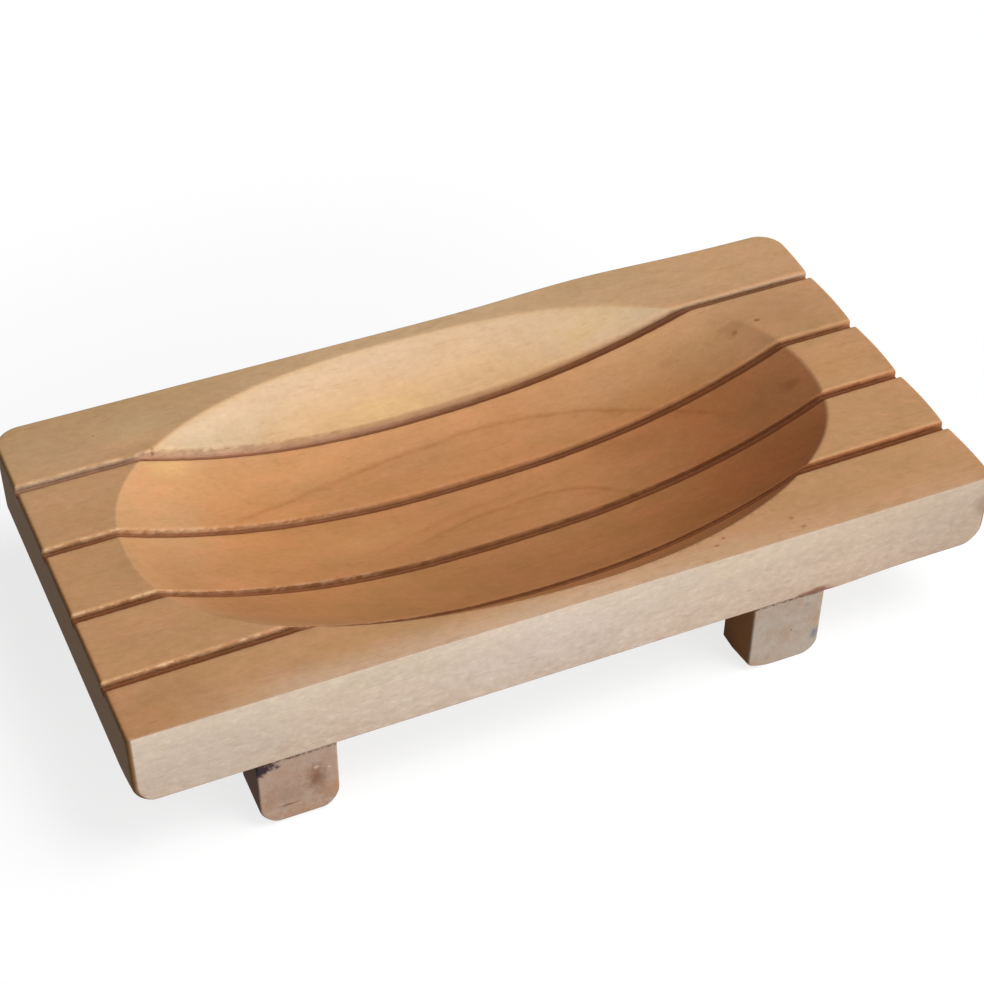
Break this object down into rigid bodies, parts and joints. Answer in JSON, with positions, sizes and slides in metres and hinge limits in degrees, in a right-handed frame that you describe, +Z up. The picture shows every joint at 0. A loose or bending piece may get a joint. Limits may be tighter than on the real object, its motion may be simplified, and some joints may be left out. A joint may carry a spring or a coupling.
{
  "type": "soap dish",
  "caption": "Rectangular wooden soap dish: a thick board with an oval hollow and lengthwise drain grooves, standing on small block feet.",
  "frame": {"origin": "on the surface that the dish stands on, under the middle of the board", "axes": "+X along the board to its right end, +Y towards its back edge, +Z up"},
  "size_m": [0.132, 0.0666, 0.0258],
  "materials": {
    "tray_wood": "sanded pale brown hardwood, unvarnished, with a faint oiled sheen",
    "foot_wood": "greyer offcut of the same kind of wood, unvarnished, with a few stains",
    "nail_steel": "plain bright wire nail"
  },
  "bodies": {
    "root": {"tray_board": "tray_wood", "front_left_foot": "foot_wood", "front_right_foot": "foot_wood", "back_left_foot": "foot_wood", "back_right_foot": "foot_wood", "foot_nails": "nail_steel"}
  },
  "joints": []
}
